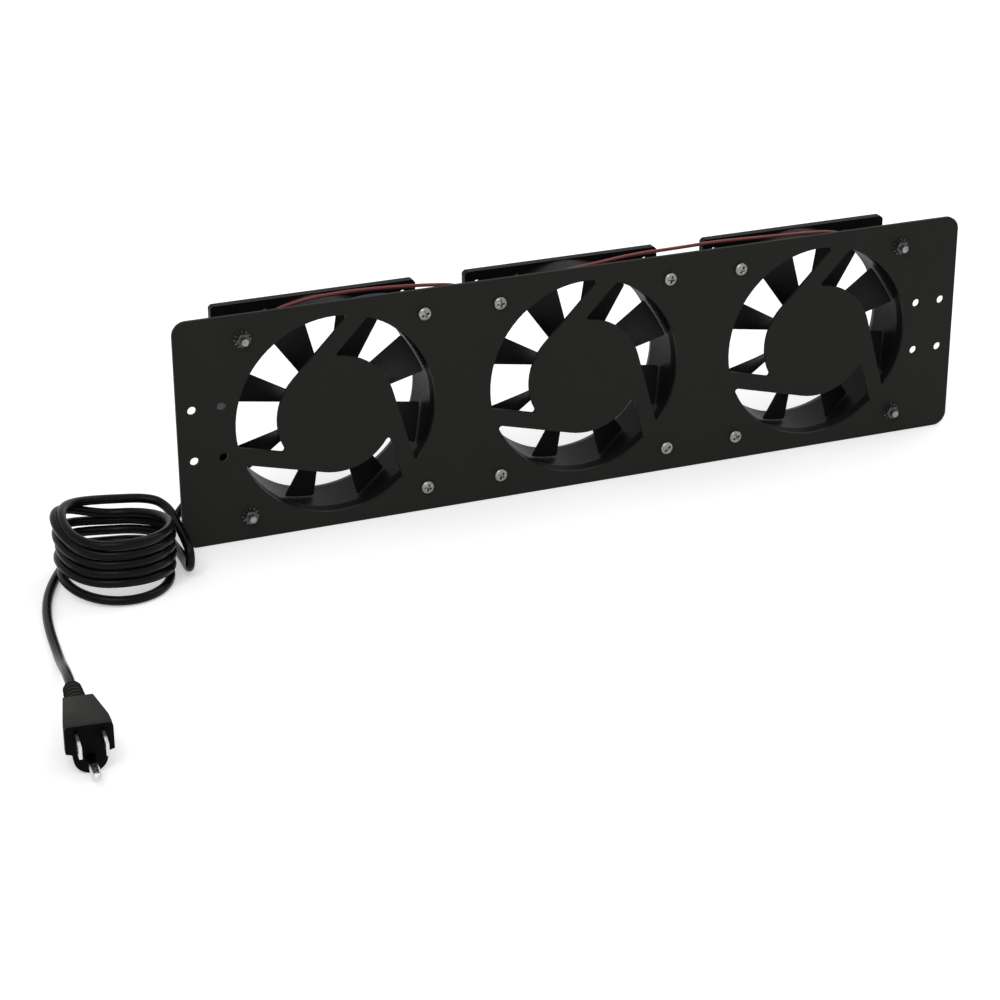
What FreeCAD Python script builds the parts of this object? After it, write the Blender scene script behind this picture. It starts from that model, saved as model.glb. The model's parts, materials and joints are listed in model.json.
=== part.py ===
"""Rack fan tray: a 3U, 19-inch panel that carries three 120 mm axial fans and their mains lead.

Frame: millimetres, +X to the right seen from the front, +Y to the rear, +Z up.
The origin is the centre of the rack hole pattern, on the panel's rear face, which meets the rack rails.
"""
import FreeCAD
import Part
import math
import os

V = FreeCAD.Vector

# ---------------------------------------------------------------- panel
panel_width = 482.6
panel_height = 133.35
panel_thickness = 2.0
panel_corner_radius = 8.0
rack_hole_edge = 8.75
inner_hole_step = 16.55
rack_hole_rise = 30.0
rack_hole_radius = 2.5

# ---------------------------------------------------------------- fan layout
fan_names = ("left", "middle", "right")
fan_pitch = 150.0

# ---------------------------------------------------------------- finger guard cut from the panel
guard_bore_margin = 0.9
guard_disc_radius = 34.5
guard_spoke_width = 9.6
guard_spoke_angles = (45.5, 165.5, 285.5)
guard_corner_radius = 1.5

# ---------------------------------------------------------------- fan frame
frame_size = 120.0
frame_depth = 38.0
frame_corner_radius = 7.0
flange_thickness = 5.0
fan_hole_inset = 7.5
screw_clearance = 0.2
barrel_inset = 0.4
barrel_wall = 2.1
bore_mouth_flare = 1.5
bore_mouth_depth = 5.0
motor_plate_radius = 31.5
motor_plate_front = 0.4
motor_plate_thickness = 2.8
strut_width = 4.0
strut_offset = 28.3

# ---------------------------------------------------------------- motor
shaft_radius = 2.5
shaft_running_clearance = 0.05
bearing_radius = 6.5
bearing_width = 4.0
bearing_front_setback = 4.0
bearing_rear_setback = 1.0
bearing_tube_wall = 2.0
bearing_tube_end = 29.0
cup_boss_gap = 1.0
cup_running_gap = 2.3
cup_radius = 30.4
cup_wall = 1.5
cup_end = 33.5
air_gap = 0.5
core_front = 12.0
core_rear = 24.0
core_slot_count = 8
core_slot_width = 6.0
core_slot_inner_radius = 13.0
core_slot_outer_radius = 24.0
core_slot_mouth = 2.0
winding_clearance = 0.2
winding_overhang = 2.5
winding_chamfer = 1.0

# ---------------------------------------------------------------- impeller
blade_count = 8
blade_first_angle = 19.6
blade_sweep_angle = 27.0
blade_front = 4.6
blade_rear = 32.4
blade_thickness = 2.0
blade_edge_thickness = 0.9
blade_camber = 2.4
blade_tip_clearance = 1.0
hub_wall = 1.8

# ---------------------------------------------------------------- screws, nuts and washers
screw_radius = 2.0
thread_clearance = 0.05
head_radius = 3.9
head_height = 2.6
head_rim = 1.1
head_top_radius = 2.2
nut_across_flats = 7.0
nut_height = 3.2
fan_screw_end_past_nut = 1.0
washer_thickness = 0.7
washer_ring_radius = 3.9
washer_tooth_radius = 5.0
washer_tooth_count = 12
washer_tooth_width = 1.1
corner_screw_end_past_nut = 2.4

# ---------------------------------------------------------------- fan terminals and leads
terminal_height = 5.3
terminal_seat_gap = 0.1
terminal_crown_angle = 28.0
terminal_corner_angle = 37.0
terminal_front = 7.0
terminal_length = 20.0
lead_diameter = 2.0
lead_height_on_barrel = 2.7
lead_bare_length = 6.0
lead_spread_in_jacket = 1.3

# ---------------------------------------------------------------- mains lead
cord_diameter = 5.2
cord_floor = -panel_height / 2 + cord_diameter / 2
clip_wall = 1.4
clip_tab_length = 14.0
clip_tab_width = 9.0
clip_slack = 0.05
cord_start_past_clip = 9.0
coil_centre_x = -284.7
coil_centre_y = -22.5
coil_radius = 30.0
coil_top = -27.6

# ---------------------------------------------------------------- plug
plug_width = 23.2
plug_height = 25.6
plug_length = 37.0
plug_shoulder_height = 14.2
plug_nose_radius = 8.2
plug_shoulder_drop = 1.0
plug_top_corner = 2.5
plug_face_length = 4.0
plug_rear_width = 14.6
plug_rear_height = 16.5
plug_axis_height = 13.6
relief_length = 24.0
relief_rear_radius = 4.1
relief_front_radius = 5.6
plug_straight_lead = 15.0
plug_face_x = -347.5
plug_face_y = -222.7
plug_heading = -5.4
blade_pin_spacing = 12.7
blade_pin_width = 1.5
blade_pin_height = 6.35
blade_pin_length = 16.2
ground_pin_drop = 11.9
ground_pin_radius = 2.4
ground_pin_length = 21.5

# ---------------------------------------------------------------- sizes that follow from the ones above
floor_z = -panel_height / 2
rack_hole_spacing = panel_width - 2 * rack_hole_edge
inner_hole_spacing = rack_hole_spacing - 2 * inner_hole_step
fan_hole_spacing = frame_size - 2 * fan_hole_inset
barrel_radius = frame_size / 2 - barrel_inset
bore_radius = barrel_radius - barrel_wall
bore_mouth_radius = bore_radius + bore_mouth_flare
guard_outer_radius = bore_radius + guard_bore_margin
fan_centres = [(index - 1) * fan_pitch for index in range(len(fan_names))]
screw_hole_radius = screw_radius + screw_clearance
motor_plate_rear = motor_plate_front + motor_plate_thickness
cup_front = motor_plate_rear + cup_running_gap
hub_radius = cup_radius + hub_wall
blade_tip_radius = bore_radius - blade_tip_clearance
bearing_tube_radius = bearing_radius + bearing_tube_wall
core_radius = cup_radius - cup_wall - air_gap
cord_radius = cord_diameter / 2
nut_circumradius = nut_across_flats / math.sqrt(3)
corner_cut_share = 0.45
tiny = 0.01


# ---------------------------------------------------------------- shape helpers
def direction(angle):
    """Unit vector in the panel's plane, at an angle from +X towards +Z."""
    return V(math.cos(math.radians(angle)), 0, math.sin(math.radians(angle)))


def disc(radius, front, rear, x=0.0, z=0.0):
    """Cylinder along Y from front to rear."""
    return Part.makeCylinder(radius, rear - front, V(x, front, z), V(0, 1, 0))


def ring(outer, inner, front, rear, x=0.0, z=0.0):
    """Tube along Y."""
    return disc(outer, front, rear, x, z).cut(disc(inner, front, rear, x, z))


def about_y(shape, angle):
    """The shape turned about the Y axis, from +X towards +Z."""
    turned = shape.copy()
    turned.rotate(V(0, 0, 0), V(0, -1, 0), angle)
    return turned


def moved(shape, x, y, z):
    """A copy of the shape, shifted."""
    copy = shape.copy()
    copy.translate(V(x, y, z))
    return copy


def edges_along_y(shape):
    """The straight edges that run front to rear."""
    return [edge for edge in shape.Edges
            if edge.BoundBox.YLength > tiny and max(edge.BoundBox.XLength, edge.BoundBox.ZLength) < tiny]


def rounded_plate(width, height, corner, front, rear):
    """Flat plate centred on the Y axis with its four corners rounded."""
    plate = Part.makeBox(width, rear - front, height, V(-width / 2, front, -height / 2))
    return plate.makeFillet(corner, edges_along_y(plate))


def revolve_profile(points):
    """Solid of revolution about the Y axis from (radius, y) corners."""
    corners = [V(radius, y, 0) for radius, y in points]
    face = Part.Face(Part.makePolygon(corners + corners[:1]))
    return face.revolve(V(0, 0, 0), V(0, 1, 0), 360)


def square_corners(spacing):
    """The four corners of a square hole pattern as (x, z) pairs."""
    half = spacing / 2
    return [(sx * half, sz * half) for sx in (-1, 1) for sz in (-1, 1)]


def export(name, shape):
    """One STEP file for each node, with every solid checked."""
    if not shape.isValid():
        raise ValueError("invalid shape: " + name)
    shape.exportStep("parts/" + name + ".step")
    print(name, "solids", len(shape.Solids), "volume", round(shape.Volume, 1))


# ---------------------------------------------------------------- panel
def guard_openings():
    """The three curved slots of one finger guard, through the panel."""
    front = -panel_thickness
    slots = ring(guard_outer_radius, guard_disc_radius, front, 0)
    for angle in guard_spoke_angles:
        spoke = Part.makeBox(guard_outer_radius + guard_spoke_width, panel_thickness, guard_spoke_width)
        spoke.translate(V(0, front, guard_disc_radius - guard_spoke_width))
        slots = slots.cut(about_y(spoke, angle))
    return slots.makeFillet(guard_corner_radius, edges_along_y(slots))


def make_panel():
    """Flat panel with rack holes, fan screw holes and three finger guards."""
    front = -panel_thickness
    panel = rounded_plate(panel_width, panel_height, panel_corner_radius, front, 0)
    cuts = []
    for spacing in (rack_hole_spacing, inner_hole_spacing):
        for x in (-spacing / 2, spacing / 2):
            for z in (-rack_hole_rise / 2, rack_hole_rise / 2):
                cuts.append(disc(rack_hole_radius, front, 0, x, z))
    slots = guard_openings()
    for centre in fan_centres:
        cuts.extend(moved(slot, centre, 0, 0) for slot in slots.Solids)
        for x, z in square_corners(fan_hole_spacing):
            cuts.append(disc(screw_hole_radius, front, 0, centre + x, z))
    return panel.cut(Part.makeCompound(cuts))


# ---------------------------------------------------------------- fan frame
def make_frame():
    """Cast frame: two square flanges on a round barrel, and the motor plate on three thin struts."""
    flange = rounded_plate(frame_size, frame_size, frame_corner_radius, 0, flange_thickness)
    frame = flange.fuse(moved(flange, 0, frame_depth - flange_thickness, 0))
    frame = frame.fuse(disc(barrel_radius, 0, frame_depth))
    frame = frame.cut(revolve_profile([
        (0, 0),
        (bore_mouth_radius, 0),
        (bore_radius, bore_mouth_depth),
        (bore_radius, frame_depth - bore_mouth_depth),
        (bore_mouth_radius, frame_depth),
        (0, frame_depth),
    ]))
    holes = [disc(screw_hole_radius, 0, frame_depth, x, z) for x, z in square_corners(fan_hole_spacing)]
    frame = frame.cut(Part.makeCompound(holes))
    strut_reach = Part.makeCompound([disc((bore_radius + barrel_radius) / 2, 0, frame_depth)])
    for angle in guard_spoke_angles:
        strut = Part.makeBox(barrel_radius, motor_plate_thickness, strut_width)
        strut.translate(V(0, motor_plate_front, strut_offset - strut_width / 2))
        frame = frame.fuse(about_y(strut, angle).common(strut_reach))
    frame = frame.fuse(disc(motor_plate_radius, motor_plate_front, motor_plate_rear))
    frame = frame.fuse(disc(bearing_tube_radius, motor_plate_front, bearing_tube_end))
    return frame.cut(disc(bearing_radius, motor_plate_rear, bearing_tube_end)).removeSplitter()


# ---------------------------------------------------------------- motor
def make_shaft():
    """Shaft pressed into the rotor cup, running in both bearings."""
    return disc(shaft_radius, motor_plate_rear + bearing_rear_setback, cup_end)


def make_bearings():
    """Front and rear ball bearings, pressed into the bearing tube."""
    front_bearing = motor_plate_rear + bearing_front_setback
    rear_bearing = bearing_tube_end - bearing_rear_setback - bearing_width
    inner = shaft_radius + shaft_running_clearance
    starts = (front_bearing, rear_bearing)
    return Part.makeCompound([ring(bearing_radius, inner, start, start + bearing_width) for start in starts])


def make_rotor_cup():
    """Steel cup over the stator, closed at the rear round the shaft."""
    cup = disc(cup_radius, cup_front, cup_end).cut(disc(cup_radius - cup_wall, cup_front, cup_end - cup_wall))
    boss = disc(shaft_radius + cup_wall, bearing_tube_end + cup_boss_gap, cup_end)
    return cup.fuse(boss).cut(disc(shaft_radius, cup_front, cup_end)).removeSplitter()


def radial_block(width, inner, outer, overhang=0.0):
    """One slot or winding along +X, as long as the core plus its overhang at both ends."""
    length = core_rear - core_front + 2 * overhang
    return Part.makeBox(outer - inner, length, width, V(inner, core_front - overhang, -width / 2))


def make_stator_core():
    """Laminated core with open slots, seated on the bearing tube."""
    core = ring(core_radius, bearing_tube_radius, core_front, core_rear)
    for index in range(core_slot_count):
        slot = radial_block(core_slot_width, core_slot_inner_radius, core_slot_outer_radius)
        mouth = radial_block(core_slot_mouth, core_slot_outer_radius, core_radius + air_gap)
        core = core.cut(about_y(slot.fuse(mouth), index * 360.0 / core_slot_count))
    return core


def make_windings():
    """Wound bundles in the core's slots, standing out past both ends."""
    width = core_slot_width - 2 * winding_clearance
    inner = core_slot_inner_radius + winding_clearance
    outer = core_slot_outer_radius - winding_clearance
    bundle = radial_block(width, inner, outer, winding_overhang)
    bundle = bundle.makeChamfer(winding_chamfer, edges_along_y(bundle))
    angles = [index * 360.0 / core_slot_count for index in range(core_slot_count)]
    return Part.makeCompound([about_y(bundle, angle) for angle in angles])


# ---------------------------------------------------------------- impeller
def blade_section(radius):
    """Cambered blade profile on the plane at one distance from the axis."""
    lead = -radius * math.tan(math.radians(blade_sweep_angle / 2))
    front_point = V(radius, blade_front, lead)
    rear_point = V(radius, blade_rear, -lead)
    along = (rear_point - front_point).normalize()
    across = along.cross(V(1, 0, 0))
    middle = (front_point + rear_point) * 0.5 + across * blade_camber
    edge = across * (blade_edge_thickness / 2)
    bulge = across * (blade_thickness / 2)
    upper = Part.Arc(front_point + edge, middle + bulge, rear_point + edge).toShape()
    lower = Part.Arc(rear_point - edge, middle - bulge, front_point - edge).toShape()
    rear_edge = Part.LineSegment(rear_point + edge, rear_point - edge).toShape()
    front_edge = Part.LineSegment(front_point - edge, front_point + edge).toShape()
    return Part.Wire([upper, rear_edge, lower, front_edge])


def make_impeller():
    """Eight twisted, cambered blades on a hub sleeve, trimmed to the tip radius."""
    hub = ring(hub_radius, cup_radius, cup_front, cup_end)
    blade = Part.makeLoft([blade_section(cup_radius - hub_wall), blade_section(barrel_radius)], True, True)
    blade = blade.common(ring(blade_tip_radius, (cup_radius + hub_radius) / 2, blade_front, blade_rear))
    blades = []
    for index in range(blade_count):
        angle = blade_first_angle + blade_sweep_angle / 2 + index * 360.0 / blade_count
        blades.append(about_y(blade, angle))
    swept = ring(blade_tip_radius, cup_radius, min(cup_front, blade_front), cup_end)
    return hub.multiFuse(blades).common(swept).removeSplitter()


# ---------------------------------------------------------------- screws, nuts and washers
def pan_head():
    """Low head with a sloping crown that stands from y = 0 towards -Y."""
    return revolve_profile([
        (0, 0),
        (head_radius, 0),
        (head_radius, -head_rim),
        (head_top_radius, -head_height),
        (0, -head_height),
    ])


def nut(front):
    """Hexagon nut along Y with its threaded bore."""
    corners = [direction(60.0 * index) * nut_circumradius for index in range(6)]
    face = Part.Face(Part.makePolygon(corners + corners[:1]))
    body = face.extrude(V(0, nut_height, 0))
    return moved(body.cut(disc(screw_radius + thread_clearance, 0, nut_height)), 0, front, 0)


def inner_screw_places():
    """The eight fan screws that aren't at the two outer ends."""
    return [(c + x, z) for c in fan_centres for x, z in square_corners(fan_hole_spacing)
            if abs(c + x) < fan_centres[-1]]


def corner_screw_places():
    """The four long screws at the outer ends."""
    return [(c + x, z) for c in fan_centres for x, z in square_corners(fan_hole_spacing)
            if abs(c + x) > fan_centres[-1]]


def is_clip_screw(x, z):
    """True for the lower left screw, whose head also holds the cable clip."""
    return x < 0 and z < 0


def make_fan_screws():
    """Short screws through the panel and the front flange."""
    end = flange_thickness + nut_height + fan_screw_end_past_nut
    screw = moved(pan_head(), 0, -panel_thickness, 0).fuse(disc(screw_radius, -panel_thickness, end))
    return Part.makeCompound([moved(screw, x, 0, z) for x, z in inner_screw_places()])


def make_fan_nuts():
    """Nuts behind the front flanges."""
    return Part.makeCompound([moved(nut(flange_thickness), x, 0, z) for x, z in inner_screw_places()])


def make_corner_screws():
    """Long screws from the rear flange, through both flanges and the panel."""
    front = -panel_thickness - washer_thickness - nut_height - corner_screw_end_past_nut
    screws = []
    for x, z in corner_screw_places():
        seat = frame_depth + (clip_wall if is_clip_screw(x, z) else 0)
        head = pan_head()
        head.rotate(V(0, 0, 0), V(0, 0, 1), 180)
        screw = moved(head, 0, seat, 0).fuse(disc(screw_radius, front, seat))
        screws.append(moved(screw, x, 0, z))
    return Part.makeCompound(screws)


def make_lock_washers():
    """Toothed washers between the panel and the nuts of the long screws."""
    front = -panel_thickness - washer_thickness
    washer = ring(washer_ring_radius, screw_hole_radius, front, -panel_thickness)
    for index in range(washer_tooth_count):
        reach = washer_tooth_radius - washer_ring_radius / 2
        tooth = Part.makeBox(reach, washer_thickness, washer_tooth_width)
        tooth.translate(V(washer_ring_radius - washer_ring_radius / 4, front, -washer_tooth_width / 2))
        washer = washer.fuse(about_y(tooth, index * 360.0 / washer_tooth_count))
    washer = washer.common(disc(washer_tooth_radius, front, -panel_thickness)).removeSplitter()
    return Part.makeCompound([moved(washer, x, 0, z) for x, z in corner_screw_places()])


def make_corner_nuts():
    """Nuts of the long screws, in front of the panel."""
    front = -panel_thickness - washer_thickness - nut_height
    return Part.makeCompound([moved(nut(front), x, 0, z) for x, z in corner_screw_places()])


# ---------------------------------------------------------------- terminals
def make_terminal(side):
    """Connection block on the barrel, between the crown and an upper corner: side -1 left, +1 right."""
    inner = barrel_radius + terminal_seat_gap
    block = ring(inner + terminal_height, inner, terminal_front, terminal_front + terminal_length)
    middle = (terminal_crown_angle + terminal_corner_angle) / 2
    half = (terminal_corner_angle - terminal_crown_angle) / 2
    reach = 2 * barrel_radius
    corners = [V(0, 0, 0), direction(90 - half) * reach, direction(90 + half) * reach]
    wedge = Part.Face(Part.makePolygon(corners + corners[:1])).extrude(V(0, frame_depth, 0))
    return about_y(block.common(wedge), -side * middle)


def beside_barrel(centre, angle, lift, y):
    """A point at a height over a fan's barrel and at an angle from its crown, + towards the right."""
    place = direction(90 - angle) * (barrel_radius + lift)
    return (centre + place.x, y, place.z)


def terminal_point(centre, angle, y):
    """Where a lead meets a terminal block's end face."""
    return beside_barrel(centre, angle, lead_height_on_barrel, y)


# ---------------------------------------------------------------- cords and leads
def rounded_path(points):
    """Straight runs joined by tangent arcs, with the smallest arc radius and the whole length."""
    corners = [V(*point) for point in points]
    edges = []
    radii = []
    start = corners[0]
    for before, corner, after in zip(corners, corners[1:], corners[2:]):
        back = before - corner
        ahead = after - corner
        cut = corner_cut_share * min(back.Length, ahead.Length)
        turn = math.pi - back.getAngle(ahead)
        radius = cut / math.tan(turn / 2)
        back.normalize()
        ahead.normalize()
        inward = (back + ahead).normalize()
        entry = corner + back * cut
        leave = corner + ahead * cut
        middle = corner + inward * (radius / math.cos(turn / 2) - radius)
        edges.append(Part.LineSegment(start, entry).toShape())
        edges.append(Part.Arc(entry, middle, leave).toShape())
        radii.append(radius)
        start = leave
    edges.append(Part.LineSegment(start, corners[-1]).toShape())
    return Part.Wire(edges), radii


def make_tube(name, points, diameter):
    """Round cord along a route, checked by its volume."""
    path, radii = rounded_path(points)
    start = V(*points[0])
    heading = V(*points[1]) - start
    section = Part.Face(Part.Wire(Part.makeCircle(diameter / 2, start, heading)))
    tube = path.makePipe(section)
    expected = math.pi * diameter ** 2 / 4 * path.Length
    print(name, "length", round(path.Length, 1), "radii", [round(radius, 1) for radius in radii],
          "volume ratio", round(tube.Volume / expected, 4))
    return tube


# ---------------------------------------------------------------- mains lead
clip_direction = V(-1, 0, 1).normalize()
clip_heading = V(-1, 0, -1).normalize()
clip_screw = V(fan_centres[0] - fan_hole_spacing / 2, frame_depth, -fan_hole_spacing / 2)
clip_bore_radius = cord_radius + clip_slack
clip_ring_radius = clip_bore_radius + clip_wall
clip_centre = clip_screw + clip_direction * clip_tab_length + V(0, clip_ring_radius, 0)
cord_start = clip_centre - clip_heading * cord_start_past_clip


def make_cable_clip():
    """P-shaped clip: a tab under the lower left screw head and a loop round the cord."""
    width = clip_tab_width
    side = V(0, 1, 0).cross(clip_direction)
    tab_start = clip_screw - clip_direction * (width / 2) - side * (width / 2)
    tab_corners = [tab_start, tab_start + side * width]
    tab_corners += [point + clip_direction * (clip_tab_length + width / 2) for point in reversed(tab_corners)]
    tab = Part.Face(Part.makePolygon(tab_corners + tab_corners[:1])).extrude(V(0, clip_wall, 0))
    loop_base = clip_centre - clip_heading * (width / 2)
    clip = tab.fuse(Part.makeCylinder(clip_ring_radius, width, loop_base, clip_heading))
    clip = clip.cut(Part.makeCylinder(clip_bore_radius, width, loop_base, clip_heading))
    hole = disc(screw_hole_radius, frame_depth, frame_depth + clip_wall, clip_screw.x, clip_screw.z)
    return clip.cut(hole).removeSplitter()


def cord_head_points():
    """From inside the clip, round the panel's lower left corner, to the top turn of the coil."""
    return [
        tuple(cord_start),
        tuple(cord_start + clip_heading * 20.0),
        (-231.0, 38.0, -59.8),
        (-241.5, 27.0, cord_floor),
        (-248.8, 10.0, cord_floor + 0.1),
        (-249.6, -9.0, cord_floor),
        (-248.2, -26.0, cord_floor + 0.1),
        (-247.4, -38.6, -60.4),
        (-247.3, -40.2, -49.6),
        (-247.8, -30.0, -44.6),
        (-248.4, -15.0, -42.2),
        (-249.4, -2.0, -38.6),
        (-256.4, 6.8, -35.8),
        (-267.6, 8.8, -34.6),
    ]


def cord_tail_points():
    """From the lowest turn of the coil to the plug's strain relief."""
    return [
        (-318.4, -19.0, cord_floor),
        (-324.0, -32.0, cord_floor),
        (-328.6, -46.5, cord_floor),
        (-331.8, -62.0, cord_floor),
        (-334.0, -79.5, cord_floor),
        (-335.4, -98.0, cord_floor),
        (-337.4, -118.0, cord_floor + 2.2),
        tuple(plug_place(0, floor_z + plug_axis_height, -plug_length - relief_length - plug_straight_lead)),
        tuple(plug_place(0, floor_z + plug_axis_height, -plug_length - relief_length)),
    ]


def make_cord_coil():
    """The stacked turns as one hollow ring of their outer shape."""
    base = V(coil_centre_x, coil_centre_y, floor_z)
    height = coil_top - floor_z
    outer = Part.makeCylinder(coil_radius + cord_radius, height, base)
    return outer.cut(Part.makeCylinder(coil_radius - cord_radius, height, base))


# ---------------------------------------------------------------- plug
def plug_place(across, up, ahead):
    """A point in the plug's own directions: across its face, up, and ahead of the face."""
    angle = math.radians(plug_heading)
    x = plug_face_x + across * math.cos(angle) + ahead * math.sin(angle)
    y = plug_face_y + across * math.sin(angle) - ahead * math.cos(angle)
    return V(x, y, up)


def plug_outline():
    """Outline of the plug's face: a wide block above a narrower round nose round the ground pin."""
    def point(across, up):
        return plug_place(across, floor_z + up, -plug_length)

    half = plug_width / 2
    corner = plug_top_corner
    mid_corner = corner * (1 - math.sqrt(0.5))
    shoulder = plug_height - plug_shoulder_height
    nose = plug_nose_radius
    outline = [
        Part.LineSegment(point(half, shoulder), point(half, plug_height - corner)),
        Part.Arc(point(half, plug_height - corner), point(half - mid_corner, plug_height - mid_corner),
                 point(half - corner, plug_height)),
        Part.LineSegment(point(half - corner, plug_height), point(corner - half, plug_height)),
        Part.Arc(point(corner - half, plug_height), point(mid_corner - half, plug_height - mid_corner),
                 point(-half, plug_height - corner)),
        Part.LineSegment(point(-half, plug_height - corner), point(-half, shoulder)),
        Part.LineSegment(point(-half, shoulder), point(-nose, shoulder - plug_shoulder_drop)),
        Part.LineSegment(point(-nose, shoulder - plug_shoulder_drop), point(-nose, nose)),
        Part.Arc(point(-nose, nose), point(0, 0), point(nose, nose)),
        Part.LineSegment(point(nose, nose), point(nose, shoulder - plug_shoulder_drop)),
        Part.LineSegment(point(nose, shoulder - plug_shoulder_drop), point(half, shoulder)),
    ]
    return Part.Wire([edge.toShape() for edge in outline])


def plug_rectangle(width, bottom, height, ahead):
    """Upright rectangle across the plug, at one distance ahead of its face."""
    half = width / 2
    top = bottom + height
    corners = [(-half, bottom), (half, bottom), (half, top), (-half, top)]
    points = [plug_place(across, floor_z + up, ahead) for across, up in corners]
    return Part.makePolygon(points + points[:1])


def make_plug_body():
    """Moulded body that narrows behind its face, with its tapered strain relief."""
    heading = plug_place(0, 0, 1.0) - plug_place(0, 0, 0)
    block = Part.Face(plug_outline()).extrude(heading * plug_length)
    rear_bottom = plug_axis_height - plug_rear_height / 2
    taper = Part.makeLoft([
        plug_rectangle(plug_rear_width, rear_bottom, plug_rear_height, -plug_length),
        plug_rectangle(plug_width, 0, plug_height, -plug_face_length),
        plug_rectangle(plug_width, 0, plug_height, 0),
    ], True, True)
    base = plug_place(0, floor_z + plug_axis_height, -plug_length - relief_length)
    relief = Part.makeCone(relief_rear_radius, relief_front_radius, relief_length, base, heading)
    return block.common(taper).fuse(relief).removeSplitter()


def make_plug_blades():
    """Two flat blades on the upper half of the face."""
    up = floor_z + plug_nose_radius + ground_pin_drop
    blades = []
    for side in (-1, 1):
        middle = side * blade_pin_spacing / 2
        low = up - blade_pin_height / 2
        corners = [plug_place(middle + sx * blade_pin_width / 2, low, sa) for sx, sa in
                   ((-1, 0), (1, 0), (1, blade_pin_length), (-1, blade_pin_length))]
        face = Part.Face(Part.makePolygon(corners + corners[:1]))
        blades.append(face.extrude(V(0, 0, blade_pin_height)))
    return Part.makeCompound(blades)


def make_plug_ground_pin():
    """Round ground pin with a domed end."""
    base = plug_place(0, floor_z + plug_nose_radius, 0)
    heading = plug_place(0, 0, 1.0) - plug_place(0, 0, 0)
    straight = ground_pin_length - ground_pin_radius
    pin = Part.makeCylinder(ground_pin_radius, straight, base, heading)
    tip = Part.makeSphere(ground_pin_radius, base + heading * straight)
    return pin.fuse(tip).removeSplitter()


# ---------------------------------------------------------------- lead routes
def clip_end(side):
    """Where a conductor leaves the cut jacket, on one side of its middle."""
    return cord_start + clip_direction * (side * lead_spread_in_jacket)


def mains_route(side, points, end_y):
    """From the cut jacket, up behind the left fan, round its side and forward to its terminals."""
    left = fan_centres[0]
    start = clip_end(side)
    route = [tuple(start), tuple(start - clip_heading * lead_bare_length)]
    route += [beside_barrel(left, *point) for point in points]
    return route + [terminal_point(left, -terminal_corner_angle, end_y)]


def linking_route(first, second, start, first_points, second_points, end):
    """From one fan's terminals to the next fan's: each point is placed about the nearer fan."""
    route = [terminal_point(first, *start)]
    route += [beside_barrel(first, *point) for point in first_points]
    route += [beside_barrel(second, *point) for point in second_points]
    return route + [terminal_point(second, *end)]


def lead_routes():
    """The red and the blue leads, as points of (angle from the crown, height over the barrel, y)."""
    left, middle, right = fan_centres
    crown = terminal_crown_angle
    corner = terminal_corner_angle
    rear = frame_depth
    return {
        "lead_red_mains": mains_route(1, [
            (-106.7, -4.0, rear + 3.6), (-86.9, -3.9, rear + 3.0), (-75.7, 3.3, rear + 1.6),
            (-69.6, 7.8, rear - 5.0), (-63.2, 9.3, rear - 11.5), (-55.0, 5.8, 22.6), (-45.2, 3.3, 22.0),
        ], 22.0),
        "lead_blue_mains": mains_route(-1, [
            (-106.9, -8.0, rear + 3.6), (-83.3, -8.2, rear + 3.2), (-68.3, 0.0, rear + 3.2),
            (-62.0, 10.6, rear + 0.6), (-58.0, 14.9, rear - 7.0), (-54.6, 12.8, 22.5), (-49.0, 5.3, 17.0),
        ], 15.5),
        "lead_red_left": linking_route(
            left, middle, (-crown, 22.0),
            [(-22.0, 3.2, 22.0), (-7.0, 2.5, 21.5), (14.0, 5.2, 20.9), (31.0, 13.0, 20.5)],
            [(-55.9, 49.1, 20.0), (-49.6, 32.0, 17.6), (-46.4, 10.8, 12.5), (-43.7, 3.5, 12.0)],
            (-corner, 12.0)),
        "lead_blue_left": linking_route(
            left, middle, (-crown, 15.5),
            [(-22.1, 3.0, 14.8), (-9.4, 1.6, 11.0), (5.6, 1.7, 9.6), (24.0, 8.2, 13.2), (40.5, 17.6, 12.4)],
            [(-56.0, 38.6, 12.9), (-50.2, 20.0, 17.4), (-47.5, 10.9, 19.0), (-43.7, 3.5, 19.0)],
            (-corner, 19.0)),
        "lead_red_right": linking_route(
            middle, right, (-crown, 12.8),
            [(-22.1, 2.9, 12.8), (-8.0, 1.5, 12.9), (12.0, 3.4, 15.0), (32.0, 14.2, 18.6),
             (46.2, 30.4, 20.0)],
            [(-43.0, 26.2, 20.3), (-26.0, 9.2, 19.9), (-4.0, 1.7, 19.2), (14.1, 2.1, 19.6),
             (21.9, 2.8, 20.0)],
            (crown, 20.0)),
        "lead_blue_right": linking_route(
            middle, right, (-crown, 9.4),
            [(-22.1, 2.9, 9.4), (-8.0, 1.6, 9.2), (9.0, 1.8, 9.2), (25.0, 5.0, 9.8), (42.0, 13.4, 11.4)],
            [(-50.5, 25.9, 12.0), (-38.7, 14.0, 11.0), (-23.4, 6.0, 9.8), (-4.0, 1.9, 9.4), (12.0, 3.2, 9.9),
             (24.8, 5.0, 13.0)],
            (crown, 13.6)),
    }


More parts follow.
